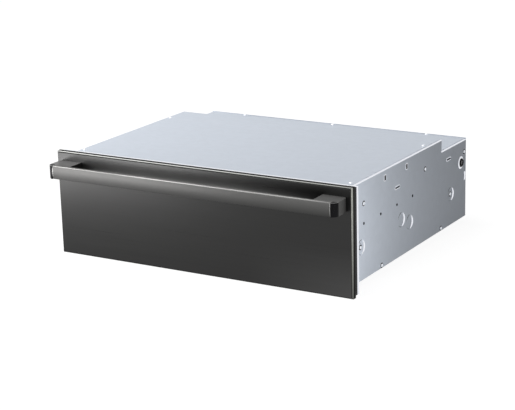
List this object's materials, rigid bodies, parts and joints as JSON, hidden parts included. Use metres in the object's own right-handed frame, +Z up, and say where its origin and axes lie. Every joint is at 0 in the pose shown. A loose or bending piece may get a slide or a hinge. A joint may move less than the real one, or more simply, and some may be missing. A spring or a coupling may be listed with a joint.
{
  "type": "built-in warming drawer",
  "caption": "Built-in warming drawer with a flat black front, full-width handle, stainless pan on ball slides and a stepped galvanised chassis.",
  "frame": {"origin": "centre of the chassis base, on its underside", "axes": "+X to the right of someone facing the front, +Y to the rear, +Z up; the drawer opens along -Y"},
  "size_m": [0.7556, 0.6852, 0.242],
  "materials": {
    "galvanised_steel": "spangled zinc coat, semi-matt",
    "black_stainless": "fine grain, satin, dark tinted",
    "handle_black_stainless": "satin, dark tinted",
    "handle_corner_black": "polished black",
    "black_enamel": "satin black",
    "stainless_steel": "brushed",
    "slide_steel": "bright zinc plate",
    "ball_steel": "polished",
    "screw_steel": "bright zinc plate",
    "insulation_wool": "fibrous",
    "heater_sheath": "heat darkened, matt",
    "black_plastic": "fine moulded texture",
    "grey_plastic": "smooth",
    "white_plastic": "smooth",
    "circuit_board": "lacquered",
    "display_glass": "smooth, dark tint",
    "seal_rubber": "matt"
  },
  "bodies": {
    "chassis": {"base_pan": "galvanised_steel", "side_panel_left": "galvanised_steel", "side_panel_right": "galvanised_steel", "top_cover": "galvanised_steel", "rear_shelf_cover": "galvanised_steel", "back_panel": "galvanised_steel", "mounting_flange": "black_enamel", "cavity_liner": "stainless_steel", "liner_brackets": "galvanised_steel", "rear_bulkhead": "galvanised_steel", "insulation_top": "insulation_wool", "insulation_bottom": "insulation_wool", "insulation_sides": "insulation_wool", "insulation_rear": "insulation_wool", "heating_element": "heater_sheath", "element_clips": "stainless_steel", "temperature_probe": "stainless_steel", "high_limit_thermostat": "black_plastic", "power_board": "circuit_board", "board_standoffs": "white_plastic", "terminal_block": "white_plastic", "cord_bushing": "black_plastic", "slide_outer_left": "slide_steel", "slide_outer_right": "slide_steel", "slide_standoffs": "slide_steel", "slide_screws": "screw_steel", "side_screws": "screw_steel", "top_screws": "screw_steel", "rear_screws": "screw_steel", "control_fascia": "black_plastic", "display_window": "display_glass", "control_board": "circuit_board"},
    "drawer": {"front_skin": "black_stainless", "front_insulation": "insulation_wool", "backing_frame": "black_enamel", "drawer_gasket": "seal_rubber", "handle_bar": "handle_black_stainless", "handle_post_left": "handle_black_stainless", "handle_post_right": "handle_black_stainless", "handle_cap_left": "handle_corner_black", "handle_cap_right": "handle_corner_black", "handle_screws": "screw_steel", "drawer_pan": "stainless_steel", "rail_left": "stainless_steel", "rail_right": "stainless_steel", "slide_inner_left": "slide_steel", "slide_inner_right": "slide_steel", "pan_screws": "screw_steel"},
    "vent": {"vent_slide": "slide_steel"},
    "power_key_body": {"power_key": "grey_plastic"},
    "warmer_key_body": {"warmer_key": "grey_plastic"},
    "cooler_key_body": {"cooler_key": "grey_plastic"},
    "timer_key_body": {"timer_key": "grey_plastic"},
    "slide_middle_left_body": {"slide_middle_left": "slide_steel"},
    "slide_middle_right_body": {"slide_middle_right": "slide_steel"},
    "ball_cage_outer_left_body": {"ball_cage_outer_left": "ball_steel"},
    "ball_cage_outer_right_body": {"ball_cage_outer_right": "ball_steel"},
    "ball_cage_inner_left_body": {"ball_cage_inner_left": "ball_steel"},
    "ball_cage_inner_right_body": {"ball_cage_inner_right": "ball_steel"}
  },
  "joints": [
    {"name": "drawer_travel", "type": "slide", "parent": "chassis", "child": "drawer", "axis": [0, -1, 0], "range_m": [0, 0.43]},
    {"name": "slide_middle_left_travel", "type": "slide", "parent": "chassis", "child": "slide_middle_left_body", "axis": [0, -1, 0], "range_m": [0, 0.215]},
    {"name": "slide_middle_right_travel", "type": "slide", "parent": "chassis", "child": "slide_middle_right_body", "axis": [0, -1, 0], "range_m": [0, 0.215]},
    {"name": "ball_cage_outer_left_travel", "type": "slide", "parent": "chassis", "child": "ball_cage_outer_left_body", "axis": [0, -1, 0], "range_m": [0, 0.1075]},
    {"name": "ball_cage_outer_right_travel", "type": "slide", "parent": "chassis", "child": "ball_cage_outer_right_body", "axis": [0, -1, 0], "range_m": [0, 0.1075]},
    {"name": "ball_cage_inner_left_travel", "type": "slide", "parent": "chassis", "child": "ball_cage_inner_left_body", "axis": [0, -1, 0], "range_m": [0, 0.3225]},
    {"name": "ball_cage_inner_right_travel", "type": "slide", "parent": "chassis", "child": "ball_cage_inner_right_body", "axis": [0, -1, 0], "range_m": [0, 0.3225]},
    {"name": "power_key_press", "type": "slide", "parent": "chassis", "child": "power_key_body", "axis": [0, 1, 0], "range_m": [0, 0.001], "stiffness_N_per_m": 500, "springref_m": -0.0005},
    {"name": "warmer_key_press", "type": "slide", "parent": "chassis", "child": "warmer_key_body", "axis": [0, 1, 0], "range_m": [0, 0.001], "stiffness_N_per_m": 500, "springref_m": -0.0005},
    {"name": "cooler_key_press", "type": "slide", "parent": "chassis", "child": "cooler_key_body", "axis": [0, 1, 0], "range_m": [0, 0.001], "stiffness_N_per_m": 500, "springref_m": -0.0005},
    {"name": "timer_key_press", "type": "slide", "parent": "chassis", "child": "timer_key_body", "axis": [0, 1, 0], "range_m": [0, 0.001], "stiffness_N_per_m": 500, "springref_m": -0.0005},
    {"name": "vent_travel", "type": "slide", "parent": "drawer", "child": "vent", "axis": [1, 0, 0], "range_m": [0, 0.012]}
  ],
  "couplings": [
    {"joint": "slide_middle_left_travel", "follows": "drawer_travel", "ratio": 0.5},
    {"joint": "slide_middle_right_travel", "follows": "drawer_travel", "ratio": 0.5},
    {"joint": "ball_cage_outer_left_travel", "follows": "drawer_travel", "ratio": 0.25},
    {"joint": "ball_cage_outer_right_travel", "follows": "drawer_travel", "ratio": 0.25},
    {"joint": "ball_cage_inner_left_travel", "follows": "drawer_travel", "ratio": 0.75},
    {"joint": "ball_cage_inner_right_travel", "follows": "drawer_travel", "ratio": 0.75}
  ]
}
